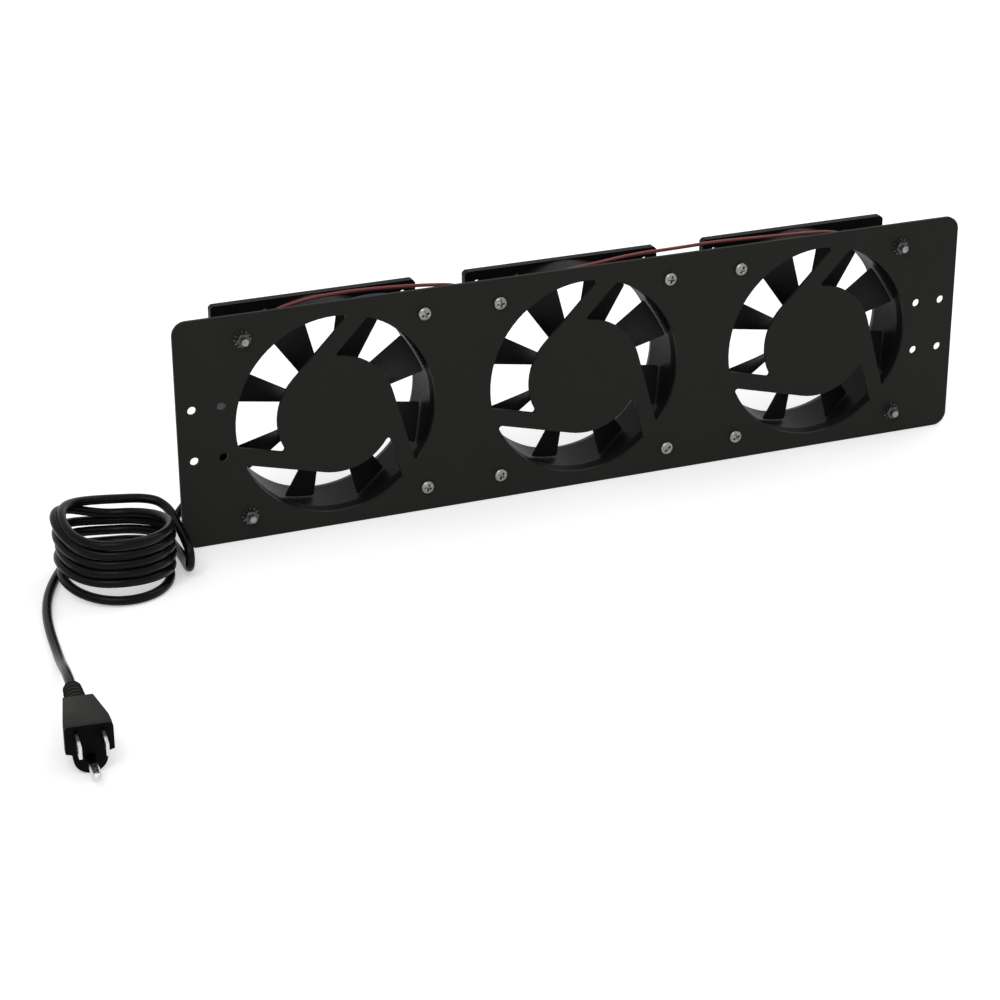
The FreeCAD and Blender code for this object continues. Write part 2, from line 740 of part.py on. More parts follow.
# ---------------------------------------------------------------- build
os.makedirs("parts", exist_ok=True)
export("panel", make_panel())
fan_pieces = {
    "fan_frame": make_frame(),
    "impeller": make_impeller(),
    "rotor_cup": make_rotor_cup(),
    "rotor_shaft": make_shaft(),
    "bearings": make_bearings(),
    "stator_core": make_stator_core(),
    "stator_windings": make_windings(),
}
terminal_sides = (-1, -1, 1)
for fan_name, centre, side in zip(fan_names, fan_centres, terminal_sides):
    for piece_name, piece in fan_pieces.items():
        export(piece_name + "_" + fan_name, moved(piece, centre, 0, 0))
    export("terminal_block_" + fan_name, moved(make_terminal(side), centre, 0, 0))
export("fan_screws", make_fan_screws())
export("fan_nuts", make_fan_nuts())
export("corner_screws", make_corner_screws())
export("lock_washers", make_lock_washers())
export("corner_nuts", make_corner_nuts())
for lead_name, route in lead_routes().items():
    export(lead_name, make_tube(lead_name, route, lead_diameter))
export("cable_clip", make_cable_clip())
export("cord_head", make_tube("cord_head", cord_head_points(), cord_diameter))
export("cord_coil", make_cord_coil())
export("cord_tail", make_tube("cord_tail", cord_tail_points(), cord_diameter))
export("plug_body", make_plug_body())
export("plug_blades", make_plug_blades())
export("plug_ground_pin", make_plug_ground_pin())
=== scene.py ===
"""Rack fan tray: materials, mains cord with its coil, rotors and motors, frame corners, screws, nuts,
plug detail and a plain studio.

The part's own frame: +X to the right seen from the front, +Y to the rear, +Z up. Sizes of the object
are in millimetres and are multiplied by MM. The camera, the lamps, the floor and the materials are in metres.
"""
import json
import math

import bmesh
import bpy
from mathutils import Matrix, Vector


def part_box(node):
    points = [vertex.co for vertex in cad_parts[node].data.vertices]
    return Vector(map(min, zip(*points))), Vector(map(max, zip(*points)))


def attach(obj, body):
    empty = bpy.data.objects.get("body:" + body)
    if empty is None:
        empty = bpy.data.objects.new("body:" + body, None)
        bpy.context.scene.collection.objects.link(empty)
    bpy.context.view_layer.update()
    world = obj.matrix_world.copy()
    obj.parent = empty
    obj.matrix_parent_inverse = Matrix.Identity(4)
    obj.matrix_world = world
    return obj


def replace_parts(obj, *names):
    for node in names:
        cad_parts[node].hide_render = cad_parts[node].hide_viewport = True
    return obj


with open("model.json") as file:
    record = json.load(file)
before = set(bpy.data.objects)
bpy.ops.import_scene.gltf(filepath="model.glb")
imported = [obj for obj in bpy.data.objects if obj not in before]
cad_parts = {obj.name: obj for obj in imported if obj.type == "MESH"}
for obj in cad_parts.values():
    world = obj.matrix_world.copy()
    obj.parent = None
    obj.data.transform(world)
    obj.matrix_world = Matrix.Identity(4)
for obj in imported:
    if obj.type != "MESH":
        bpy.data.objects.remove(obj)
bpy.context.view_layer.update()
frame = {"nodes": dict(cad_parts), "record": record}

MM = 0.001
fan_names = ("left", "middle", "right")
floor_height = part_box("panel")[0][2]

# ---------------------------------------------------------------- camera
camera_place = Vector((-0.5708, -1.3088, 0.5662))
camera_right = Vector((0.92899, -0.37009, -0.00394))
camera_up = Vector((0.15563, 0.38096, 0.91140))
camera_lens = 96.03
camera_sensor = 36.0
camera_clip = (0.05, 50.0)

# ---------------------------------------------------------------- light and floor
world_cast = 0.6
world_seen = 1.0
floor_half_size = 6.0
floor_drop = 0.0002
floor_colour = (0.86, 0.86, 0.86, 1)
floor_glow_cast = 0.0
floor_glow_seen = 0.38
lamp_target = (0, 0, 0)
lamps = (("key", (-1.2, -1.6, 2.2), 1.6, 26.0), ("rim", (1.4, 0.6, 2.0), 1.4, 14.0))

# ---------------------------------------------------------------- mains cord, repeated from the part's route
cord_diameter = 5.2 * MM
cord_head = [
    (-206.04, 42.05, -36.24),
    (-220.18, 42.05, -50.38),
    (-231.0, 38.0, -59.8),
    (-241.5, 27.0, -64.075),
    (-246.8, 10.0, -63.975),
    (-245.4, -9.0, -64.075),
    (-246.2, -26.0, -63.975),
    (-248.0, -39.3, -60.4),
    (-247.6, -40.6, -50.0),
    (-247.8, -30.0, -45.6),
    (-248.4, -15.0, -42.2),
    (-249.4, -2.0, -38.6),
    (-256.4, 6.8, -35.8),
    (-267.6, 8.8, -34.6),
]
cord_tail = [
    (-318.4, -19.0, -64.075),
    (-324.0, -32.0, -64.075),
    (-328.6, -46.5, -64.075),
    (-331.8, -62.0, -64.075),
    (-334.0, -79.5, -64.075),
    (-335.4, -98.0, -64.075),
    (-337.4, -118.0, -61.875),
]
cord_tail_end = [
    (-340.35, -147.04, -53.075),
    (-341.76, -161.97, -53.075),
]

# ---------------------------------------------------------------- coil of the cord, turn by turn from the top
coil_centre = (-284.7, -24.0)
coil_radius = 30.0
coil_depth_radius = 32.0
coil_first_angle = 82.0
coil_last_angle = 2312.0
coil_points_per_turn = 16
coil_back_heights = (-34.2, -42.0, -46.9, -51.6, -59.4, -64.075, -64.075, -64.075)
coil_front_heights = (-31.6, -37.4, -42.9, -48.3, -53.7, -64.075, -64.075)
coil_left_lifts = (8.0, 13.0, 8.0, 7.0, 6.0, 3.0, 0.0, 0.0)
coil_left_insets = (3.6, -1.8, 0.0, 0.0, 0.0, 0.0, 0.0, 0.0)
coil_left_angle = 158.0
coil_left_spread = 85.0
coil_back_stagger = 1.3
coil_lowest_from_turn = 4.6
coil_lowest_drop = 1.2
coil_lowest_inset = 2.0

# ---------------------------------------------------------------- fans
fan_pitch = 150.0
# Painted shade: frame paint within flange_rim_depth of the frames' top and bottom (|Z| near flange_rim) is
# blended to a near-black colour.
flange_rim = 0.0599
flange_rim_depth = 0.0004
flange_rim_shade_colour = (0.0008, 0.0008, 0.0008, 1)
flange_corner_start = 53.0
flange_corner_wide = 7.0
flange_corner_reach = 8.9
flange_corner_slack = 0.01
flange_corner_inner_share = 0.8
rotor_segments = 96
rotor_sharp_angle = 32.0
hub_front = 5.5
hub_radius = 20.5
hub_end = 20.5
tail_radius = 11.0
tail_end = 33.5
tail_wall = 2.0
tail_flare = 1.2
tail_edge = 0.4
tail_face_inset = 1.6
hub_wall = 1.4
hub_edge = 0.8
hub_back_inset = 1.0
shaft_bore = 2.5
blade_count = 8
blade_first_angle = 14.5
blade_sweep_angle = 21.6
blade_front = 8.6
blade_rear = 19.5
blade_root = 19.8
blade_tip = 56.9
blade_camber = 1.6
blade_thickness = 1.6
blade_edge_share = 0.45
blade_chord_steps = 14
blade_span_steps = 10
blade_tip_round = 0.7
stator_profile = [(8.6, 7.0), (17.2, 7.0), (17.2, 14.0), (8.6, 14.0)]
winding_profile = [(10.0, 5.6), (14.6, 5.6), (14.6, 15.4), (10.0, 15.4)]

# ---------------------------------------------------------------- screws
screw_places = [(x, z) for x in (-97.5, -52.5, 52.5, 97.5) for z in (-52.5, 52.5)]
screw_radius = 2.0
screw_end = 9.2
screw_tip_chamfer = 0.5
screw_sharp_angle = 35.0
screw_first_turn = 17
screw_turn_step = 53
panel_front = -2.0
head_radius = 3.9
head_height = 2.6
head_rim = 0.9
head_rings = 7
head_segments = 40
recess_arm = 5.0
recess_width = 1.25
recess_depth = 1.7
recess_overshoot = 0.5
recess_mouth_scale = 1.15
recess_floor_scale = 0.55

# ---------------------------------------------------------------- corner nuts
nut_places = [(x, z) for x in (-202.5, 202.5) for z in (-52.5, 52.5)]
nut_across_flats = 7.0
nut_chamfer = 0.5
nut_chamfer_share = 0.86
nut_segments = 48
nut_sharp_angle = 20.0

# ---------------------------------------------------------------- plug (its colour change is in metres)
plug_edge_round = 0.6
plug_sharp_angle = 35.0
relief_rear = cord_tail_end[-1]
relief_heading = (-0.0941, -0.9956, 0.0)
relief_band_segments = 36
relief_length = 24.0
relief_rear_radius = 4.1
relief_front_radius = 5.6
relief_band_pitch = 3.8
relief_band_radius = 0.55
# Painted shade on the plug's front and sides, and painted light on its upward faces.
plug_shaded_colour = (0.0018, 0.0018, 0.0018)
plug_top_lit_colour = (0.021, 0.021, 0.019)
# The pins are coloured dark near the plug's face and bright towards the tips, changing between these two Y
# values in metres.
pin_bright_from = -0.2310
pin_bright_to = -0.2345
pin_dark_colour = (0.03, 0.03, 0.03)
pin_bright_colour = (0.62, 0.62, 0.6)


# ---------------------------------------------------------------- node material helpers
def new_material(name):
    """An empty node material with its shader, and object coordinates in metres."""
    material = bpy.data.materials.new(name)
    material.use_nodes = True
    tree = material.node_tree
    place = tree.nodes.new("ShaderNodeTexCoord")
    return material, tree, tree.nodes["Principled BSDF"], place.outputs["Object"]


def noise(tree, place, per_metre, detail=3.0, stretch=(1, 1, 1)):
    """Noise whose grain has a real size, optionally stretched along an axis."""
    mapping = tree.nodes.new("ShaderNodeMapping")
    mapping.inputs["Scale"].default_value = [per_metre * factor for factor in stretch]
    texture = tree.nodes.new("ShaderNodeTexNoise")
    texture.inputs["Scale"].default_value = 1.0
    texture.inputs["Detail"].default_value = detail
    tree.links.new(place, mapping.inputs["Vector"])
    tree.links.new(mapping.outputs["Vector"], texture.inputs["Vector"])
    return texture.outputs["Fac"]


def spread(tree, value, low, high):
    """A 0 to 1 value spread over a range."""
    node = tree.nodes.new("ShaderNodeMapRange")
    node.inputs["From Min"].default_value = 0.3
    node.inputs["From Max"].default_value = 0.7
    node.inputs["To Min"].default_value = low
    node.inputs["To Max"].default_value = high
    tree.links.new(value, node.inputs["Value"])
    return node.outputs["Result"]


def two_colours(tree, factor, first, second):
    """A blend of two colours."""
    node = tree.nodes.new("ShaderNodeMix")
    node.data_type = "RGBA"
    node.inputs["A"].default_value = (*first, 1)
    node.inputs["B"].default_value = (*second, 1)
    tree.links.new(factor, node.inputs["Factor"])
    return node.outputs["Result"]


def add_bump(tree, shader, height, distance, strength):
    """Surface relief from a height value, over a real distance."""
    bump = tree.nodes.new("ShaderNodeBump")
    bump.inputs["Strength"].default_value = strength
    bump.inputs["Distance"].default_value = distance
    tree.links.new(height, bump.inputs["Height"])
    tree.links.new(bump.outputs["Normal"], shader.inputs["Normal"])


def grained(name, colours, roughness, grain, distance, strength=0.5, metallic=0.0, specular=0.5,
            stretch=(1, 1, 1), cloud=25.0):
    """Material with a fine surface grain, a slow drift of colour and an uneven gloss."""
    material, tree, shader, place = new_material(name)
    drift = noise(tree, place, cloud)
    fine = noise(tree, place, grain, stretch=stretch)
    tree.links.new(two_colours(tree, drift, *colours), shader.inputs["Base Color"])
    tree.links.new(spread(tree, fine, *roughness), shader.inputs["Roughness"])
    shader.inputs["Metallic"].default_value = metallic
    shader.inputs["Specular IOR Level"].default_value = specular
    add_bump(tree, shader, fine, distance, strength)
    return material


def banded(name, colours, roughness, bands, direction, distance, metallic):
    """Material of fine parallel bands, such as stacked sheets or wound wire."""
    material, tree, shader, place = new_material(name)
    wave = tree.nodes.new("ShaderNodeTexWave")
    wave.bands_direction = direction
    wave.inputs["Scale"].default_value = bands
    wave.inputs["Distortion"].default_value = 0.4
    tree.links.new(place, wave.inputs["Vector"])
    tree.links.new(two_colours(tree, wave.outputs["Fac"], *colours), shader.inputs["Base Color"])
    tree.links.new(spread(tree, noise(tree, place, 400.0), *roughness), shader.inputs["Roughness"])
    shader.inputs["Metallic"].default_value = metallic
    add_bump(tree, shader, wave.outputs["Fac"], distance, 0.6)
    return material


def rim_shaded_paint(name):
    """Black frame paint, with painted shade: the frames' top and bottom faces, and a thin strip just inside
    them, are painted near black.
    """
    material = grained(name, ((0.0046, 0.0046, 0.0048), (0.0060, 0.0060, 0.0063)),
                       (0.36, 0.52), 900.0, 0.00006, 0.5, specular=0.05)
    tree = material.node_tree
    shader = tree.nodes["Principled BSDF"]
    base = shader.inputs["Base Color"].links[0].from_socket
    place = tree.nodes.new("ShaderNodeTexCoord")
    split = tree.nodes.new("ShaderNodeSeparateXYZ")
    tree.links.new(place.outputs["Object"], split.inputs["Vector"])
    height = tree.nodes.new("ShaderNodeMath")
    height.operation = "ABSOLUTE"
    tree.links.new(split.outputs["Z"], height.inputs[0])
    rim = tree.nodes.new("ShaderNodeMapRange")
    rim.inputs["From Min"].default_value = flange_rim - flange_rim_depth
    rim.inputs["From Max"].default_value = flange_rim
    tree.links.new(height.outputs["Value"], rim.inputs["Value"])
    # Painted shade: near black mixed in on the frames' top and bottom faces.
    dark = tree.nodes.new("ShaderNodeMix")
    dark.data_type = "RGBA"
    dark.inputs["B"].default_value = flange_rim_shade_colour
    tree.links.new(rim.outputs["Result"], dark.inputs["Factor"])
    tree.links.new(base, dark.inputs["A"])
    tree.links.new(dark.outputs["Result"], shader.inputs["Base Color"])
    return material


def top_lit_plastic(name):
    """Black moulded plastic with painted light: upward faces painted paler as if lit from above, the other
    faces painted darker as shade, the lit part varied at random.
    """
    material, tree, shader, place = new_material(name)
    geometry = tree.nodes.new("ShaderNodeNewGeometry")
    split = tree.nodes.new("ShaderNodeSeparateXYZ")
    tree.links.new(geometry.outputs["Normal"], split.inputs["Vector"])
    upward = tree.nodes.new("ShaderNodeMapRange")
    upward.inputs["From Min"].default_value = 0.1
    upward.inputs["From Max"].default_value = 0.9
    tree.links.new(split.outputs["Z"], upward.inputs["Value"])
    fine = noise(tree, place, 1400.0)
    # Painted light: upward faces, varied at random, blend from the shaded colour to the lit top colour.
    painted_top_light = tree.nodes.new("ShaderNodeMath")
    painted_top_light.operation = "MULTIPLY"
    tree.links.new(upward.outputs["Result"], painted_top_light.inputs[0])
    tree.links.new(spread(tree, noise(tree, place, 120.0), 0.75, 1.0), painted_top_light.inputs[1])
    colour = two_colours(tree, painted_top_light.outputs["Value"], plug_shaded_colour, plug_top_lit_colour)
    tree.links.new(colour, shader.inputs["Base Color"])
    tree.links.new(spread(tree, fine, 0.42, 0.55), shader.inputs["Roughness"])
    shader.inputs["Specular IOR Level"].default_value = 0.045
    add_bump(tree, shader, fine, 0.00004, 0.5)
    return material


def pins_dark_to_bright(name):
    """Nickel plate, dark near the plug's face and bright towards the tips."""
    material, tree, shader, place = new_material(name)
    split = tree.nodes.new("ShaderNodeSeparateXYZ")
    tree.links.new(place, split.inputs["Vector"])
    bright = tree.nodes.new("ShaderNodeMapRange")
    bright.interpolation_type = "SMOOTHSTEP"
    bright.inputs["From Min"].default_value = pin_bright_from
    bright.inputs["From Max"].default_value = pin_bright_to
    tree.links.new(split.outputs["Y"], bright.inputs["Value"])
    fine = noise(tree, place, 900.0)
    colour = two_colours(tree, bright.outputs["Result"], pin_dark_colour, pin_bright_colour)
    tree.links.new(colour, shader.inputs["Base Color"])
    tree.links.new(spread(tree, fine, 0.18, 0.32), shader.inputs["Roughness"])
    shader.inputs["Metallic"].default_value = 1.0
    add_bump(tree, shader, fine, 0.00001, 0.4)
    return material


def make_materials():
    """Every finish, by the record's material slot."""
    return {
        "panel_paint": grained("panel_paint", ((0.0130, 0.0130, 0.0118), (0.0150, 0.0150, 0.0136)),
                               (0.5, 0.66), 2200.0, 0.00003, 0.5, specular=0.09),
        "frame_paint": rim_shaded_paint("frame_paint"),
        "impeller_black": grained("impeller_black", ((0.0045, 0.0045, 0.0045), (0.006, 0.006, 0.006)),
                                  (0.42, 0.54), 500.0, 0.00003, 0.3, specular=0.15),
        "rotor_steel": grained("rotor_steel", ((0.006, 0.006, 0.006), (0.01, 0.01, 0.01)),
                               (0.4, 0.55), 1500.0, 0.00002, 0.4, specular=0.2),
        "shaft_steel": grained("shaft_steel", ((0.5, 0.5, 0.51), (0.6, 0.6, 0.61)),
                               (0.16, 0.3), 1800.0, 0.00001, 0.4, metallic=1.0, stretch=(1, 0.1, 1)),
        "core_steel": banded("core_steel", ((0.12, 0.12, 0.125), (0.3, 0.3, 0.31)),
                             (0.3, 0.5), 320.0, "Y", 0.00012, 1.0),
        "winding_copper": banded("winding_copper", ((0.42, 0.15, 0.05), (0.7, 0.3, 0.12)),
                                 (0.2, 0.34), 420.0, "Z", 0.0002, 0.9),
        "terminal_plastic": grained("terminal_plastic", ((0.004, 0.004, 0.004), (0.006, 0.006, 0.006)),
                                    (0.3, 0.42), 700.0, 0.00003, 0.3, specular=0.2),
        "zinc_plate": grained("zinc_plate", ((0.10, 0.10, 0.098), (0.40, 0.40, 0.39)),
                              (0.22, 0.38), 1600.0, 0.00002, 0.5, metallic=1.0, cloud=420.0),
        "dark_washer": grained("dark_washer", ((0.006, 0.006, 0.006), (0.12, 0.12, 0.118)),
                               (0.25, 0.45), 1500.0, 0.00003, 0.5, metallic=0.8, cloud=500.0),
        "red_insulation": grained("red_insulation", ((0.16, 0.034, 0.034), (0.20, 0.044, 0.042)),
                                  (0.3, 0.4), 700.0, 0.00002, 0.3, specular=0.2),
        "blue_insulation": grained("blue_insulation", ((0.012, 0.013, 0.06), (0.016, 0.018, 0.085)),
                                   (0.3, 0.4), 700.0, 0.00002, 0.3, specular=0.2),
        "clip_plastic": grained("clip_plastic", ((0.004, 0.004, 0.004), (0.007, 0.007, 0.007)),
                                (0.32, 0.45), 900.0, 0.00003, 0.3, specular=0.2),
        "cord_jacket": grained("cord_jacket", ((0.0014, 0.0014, 0.0014), (0.0024, 0.0024, 0.0024)),
                               (0.24, 0.34), 600.0, 0.00004, 0.35, specular=0.1),
        "plug_plastic": top_lit_plastic("plug_plastic"),
        "plug_metal": pins_dark_to_bright("plug_metal"),
    }


# ---------------------------------------------------------------- pieces
def add_piece(name, data, slot, body="tray"):
    """A new visible piece with a slot's finish, riding on a body."""
    piece = bpy.data.objects.new(name, data)
    bpy.context.collection.objects.link(piece)
    data.materials.clear()
    data.materials.append(materials[slot])
    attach(piece, body)
    return piece


def dress_cad_nodes():
    """Each CAD node gets its slot's finish."""
    slots = {part["node"]: part["material_slot"] for part in frame["record"]["subparts"]}
    for name, node in frame["nodes"].items():
        node.data.materials.clear()
        node.data.materials.append(materials[slots[name]])


def coil_point(angle):
    """Centre of the cord at an angle round the coil, counted from the top turn, in millimetres."""
    turn = (angle - 90.0) / 360.0
    sine = math.sin(math.radians(angle))
    back = between(coil_back_heights, turn)
    front = between(coil_front_heights, turn - 0.5)
    height = (back + front) / 2 + (back - front) / 2 * sine
    cosine = math.cos(math.radians(angle))
    aside = (angle - coil_left_angle + 180.0) % 360.0 - 180.0
    bump = math.cos(math.radians(min(abs(aside) / coil_left_spread, 1.0) * 90.0)) ** 2
    level = max(0, round((angle - coil_left_angle) / 360.0))
    height += coil_left_lifts[level] * bump
    stagger = coil_back_stagger * (1 + sine) / 2 * math.cos(math.pi * turn) - coil_left_insets[level] * bump
    reach = 1 / math.cos(math.pi / coil_points_per_turn)
    lowest = min(max(turn - coil_lowest_from_turn, 0.0), 1.0)
    wide = coil_radius + stagger - coil_lowest_inset * lowest * max(0.0, cosine)
    deep = coil_depth_radius + stagger + coil_lowest_drop * lowest
    return (coil_centre[0] + wide * reach * cosine, coil_centre[1] + deep * reach * sine, height)


def between(values, place):
    """A list read at a fractional place, held at its ends."""
    place = min(max(place, 0.0), len(values) - 1.001)
    index = int(place)
    share = place - index
    return values[index] * (1 - share) + values[index + 1] * share


def make_cord():
    """The mains cord from the clip, through its coil, to the plug, as one smooth curve."""
    step = 360.0 / coil_points_per_turn
    count = int((coil_last_angle - coil_first_angle) / step) + 1
    coil = [coil_point(coil_first_angle + step * index) for index in range(count)]
    points = cord_head[:-1] + coil + cord_tail + cord_tail_end
    curve = bpy.data.curves.new("mains_cord", "CURVE")
    curve.dimensions = "3D"
    curve.bevel_depth = cord_diameter / 2
    curve.bevel_resolution = 5
    curve.use_fill_caps = True
    spline = curve.splines.new("NURBS")
    spline.points.add(len(points) - 1)
    for point, place in zip(spline.points, points):
        point.co = (*(Vector(place) * MM), 1)
    spline.order_u = 3
    spline.use_endpoint_u = True
    spline.resolution_u = 6
    cord = add_piece("mains_cord", curve, "cord_jacket")
    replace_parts(cord, "cord_head", "cord_coil", "cord_tail")
    return cord, Vector(points[0]) * MM


def to_mesh(name, builder):
    """A mesh filled by a bmesh builder, its faces turned outwards."""
    mesh = bpy.data.meshes.new(name)
    shape = bmesh.new()
    builder(shape)
    bmesh.ops.recalc_face_normals(shape, faces=shape.faces)
    shape.to_mesh(mesh)
    shape.free()
    return mesh


def shade(mesh, sharp_angle):
    """Smooth shading, with the edges that are sharper than an angle left crisp."""
    mesh.shade_smooth()
    mesh.set_sharp_from_angle(angle=math.radians(sharp_angle))


def join_rings(shape, rings):
    """Faces between neighbouring rings of vertices, and from the last ring back to the first."""
    for first, second in zip(rings, rings[1:] + rings[:1]):
        for index in range(len(first)):
            after = (index + 1) % len(first)
            shape.faces.new((first[index], first[after], second[after], second[index]))


def revolve(shape, profile, segments):
    """Closed surface of revolution about Y from (radius, y) points that start and end on the axis."""
    rings = []
    for radius, y in profile:
        if radius == 0:
            rings.append([shape.verts.new((0, y, 0))])
            continue
        angles = [2 * math.pi * index / segments for index in range(segments)]
        rings.append([shape.verts.new((radius * math.cos(a), y, radius * math.sin(a))) for a in angles])
    for first, second in zip(rings, rings[1:]):
        for index in range(segments):
            after = (index + 1) % segments
            corners = [first[index % len(first)], first[after % len(first)],
                       second[after % len(second)], second[index % len(second)]]
            unique = list(dict.fromkeys(corners))
            shape.faces.new(unique)


def blade_grid(shape, first_angle, centre):
    """One cambered, twisted blade with rounded tip corners, as a closed skin."""
    def corner(chord, span):
        span_left = (1 - span) * (blade_tip - blade_root)
        short = 1 - min(span_left / blade_tip_round, 1.0)
        inset = blade_tip_round * (1 - math.sqrt(max(0.0, 1 - short ** 2)))
        start = inset / (blade_rear - blade_front)
        return start + (1 - 2 * start) * chord

    skins = []
    for side in (-1, 1):
        rows = []
        for j in range(blade_span_steps + 1):
            share = math.sin(j / blade_span_steps * math.pi / 2)
            radius = blade_root + (blade_tip - blade_root) * share
            row = []
            for i in range(blade_chord_steps + 1):
                chord = corner(i / blade_chord_steps, share)
                bow = 4 * chord * (1 - chord)
                angle = math.radians(first_angle + blade_sweep_angle * chord)
                width = radius * math.radians(blade_sweep_angle)
                length = math.hypot(width, blade_rear - blade_front)
                half = blade_thickness / 2 * (blade_edge_share + (1 - blade_edge_share) * bow)
                off = blade_camber * bow + side * half
                swing = -off * (blade_rear - blade_front) / length
                y = blade_front + (blade_rear - blade_front) * chord + off * width / length
                x = radius * math.cos(angle) - swing * math.sin(angle)
                z = radius * math.sin(angle) + swing * math.cos(angle)
                row.append(shape.verts.new(((centre + x) * MM, y * MM, z * MM)))
            rows.append(row)
        for low, high in zip(rows, rows[1:]):
            for i in range(blade_chord_steps):
                shape.faces.new((low[i], low[i + 1], high[i + 1], high[i]))
        skins.append(rows)
    outlines = []
    for rows in skins:
        left = [row[0] for row in rows]
        right = [row[-1] for row in rows]
        outlines.append(rows[0] + right[1:] + rows[-1][-2::-1] + left[-2:0:-1])
    for index in range(len(outlines[0])):
        after = (index + 1) % len(outlines[0])
        shape.faces.new((outlines[0][index], outlines[0][after], outlines[1][after], outlines[1][index]))


def turned_ring(shape, profile, centre, segments):
    """Closed ring about a fan's axis from (radius, y) corners in order."""
    angles = [2 * math.pi * index / segments for index in range(segments)]
    rings = []
    for radius, y in profile:
        places = [((centre + radius * math.cos(a)) * MM, y * MM, radius * math.sin(a) * MM) for a in angles]
        rings.append([shape.verts.new(place) for place in places])
    join_rings(shape, rings)


def hub_profile():
    """The rotor's hub: a drum with softened edges that tapers to the shaft's end, hollow in front."""
    inner_radius = hub_radius - hub_wall
    return [
        (inner_radius, hub_front),
        (hub_radius - hub_edge, hub_front),
        (hub_radius, hub_front + hub_edge),
        (hub_radius, hub_end - hub_edge),
        (hub_radius - hub_edge, hub_end),
        (tail_radius + tail_flare, tail_end - tail_wall),
        (tail_radius - tail_edge, tail_end - tail_edge),
        (tail_radius - tail_face_inset, tail_end),
        (shaft_bore, tail_end),
        (shaft_bore, tail_end - hub_wall),
        (tail_radius - tail_wall, tail_end - hub_wall),
        (inner_radius - hub_back_inset, hub_end - hub_wall),
        (inner_radius, hub_end - 2 * hub_wall),
    ]


def make_rotors():
    """Each fan's impeller on its drum, and the small stator inside."""
    for index, name in enumerate(fan_names):
        centre = (index - 1) * fan_pitch

        def impeller(shape):
            turned_ring(shape, hub_profile(), centre, rotor_segments)
            for blade in range(blade_count):
                blade_grid(shape, blade_first_angle + blade * 360 / blade_count, centre)

        mesh = to_mesh("impeller_cast_" + name, impeller)
        shade(mesh, rotor_sharp_angle)
        piece = add_piece("impeller_cast_" + name, mesh, "impeller_black", "rotor_" + name)
        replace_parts(piece, "impeller_" + name, "rotor_cup_" + name)
        for part, profile, slot_name, hidden in (
                ("stator_stack_", stator_profile, "core_steel", "stator_core_"),
                ("stator_coils_", winding_profile, "winding_copper", "stator_windings_")):

            def ring(shape):
                turned_ring(shape, profile, centre, rotor_segments)

            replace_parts(add_piece(part + name, to_mesh(part + name, ring), slot_name), hidden + name)


def screw_profile():
    """Pan head in front of the panel and the shank behind it, from the crown to the tip."""
    crown = [(0.0, panel_front - head_height)]
    for index in range(1, head_rings + 1):
        share = index / head_rings
        radius = head_radius * math.sin(share * math.pi / 2)
        drop = (head_height - head_rim) * (1 - math.cos(share * math.pi / 2))
        crown.append((radius, panel_front - head_height + drop))
    tip_radius = screw_radius - screw_tip_chamfer
    return crown + [(head_radius, panel_front), (screw_radius, panel_front),
                    (screw_radius, screw_end - screw_tip_chamfer), (tip_radius, screw_end), (0.0, screw_end)]


def cut_recess(piece):
    """A cross-shaped driver recess, tapered towards its bottom."""
    def arms(shape):
        for turn in (0, math.pi / 2):
            half = (recess_arm / 2, recess_width / 2)
            front = panel_front - head_height - recess_overshoot
            verts = []
            for y, scale in ((front, recess_mouth_scale),
                             (front + recess_overshoot + recess_depth, recess_floor_scale)):
                for sx, sz in ((-1, -1), (1, -1), (1, 1), (-1, 1)):
                    x = sx * half[0] * scale
                    z = sz * half[1] * (scale + 1) / 2
                    place = Matrix.Rotation(turn, 3, "Y") @ Vector((x, y, z))
                    verts.append(shape.verts.new(place))
            for face in ((0, 1, 2, 3), (7, 6, 5, 4), (0, 4, 5, 1), (1, 5, 6, 2), (2, 6, 7, 3), (3, 7, 4, 0)):
                shape.faces.new([verts[index] for index in face])

    cutter = bpy.data.objects.new("recess_cutter", to_mesh("recess_cutter", arms))
    bpy.context.collection.objects.link(cutter)
    modifier = piece.modifiers.new("recess", "BOOLEAN")
    modifier.operation = "DIFFERENCE"
    modifier.solver = "EXACT"
    modifier.use_self = True
    modifier.object = cutter
    bpy.context.view_layer.update()
    evaluated = piece.evaluated_get(bpy.context.evaluated_depsgraph_get())
    result = bpy.data.meshes.new_from_object(evaluated)
    bpy.data.objects.remove(cutter)
    return result


def make_screws():
    """The eight fan screws, with their cross recesses turned to different angles."""
    blank_mesh = to_mesh("screw_blank", lambda shape: revolve(shape, screw_profile(), head_segments))
    blank = bpy.data.objects.new("screw_blank", blank_mesh)
    bpy.context.collection.objects.link(blank)
    one = cut_recess(blank)
    bpy.data.objects.remove(blank)
    joined = bmesh.new()
    for index, (x, z) in enumerate(screw_places):
        copy = bmesh.new()
        copy.from_mesh(one)
        turn = Matrix.Rotation(math.radians(screw_first_turn + screw_turn_step * index), 4, "Y")
        copy.transform(Matrix.Scale(MM, 4) @ Matrix.Translation((x, 0, z)) @ turn)
        part = bpy.data.meshes.new("screw_copy")
        copy.to_mesh(part)
        joined.from_mesh(part)
        copy.free()
        bpy.data.meshes.remove(part)
    mesh = bpy.data.meshes.new("screw_heads")
    joined.to_mesh(mesh)
    joined.free()
    shade(mesh, screw_sharp_angle)
    piece = add_piece("screw_heads", mesh, "zinc_plate")
    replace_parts(piece, "fan_screws")


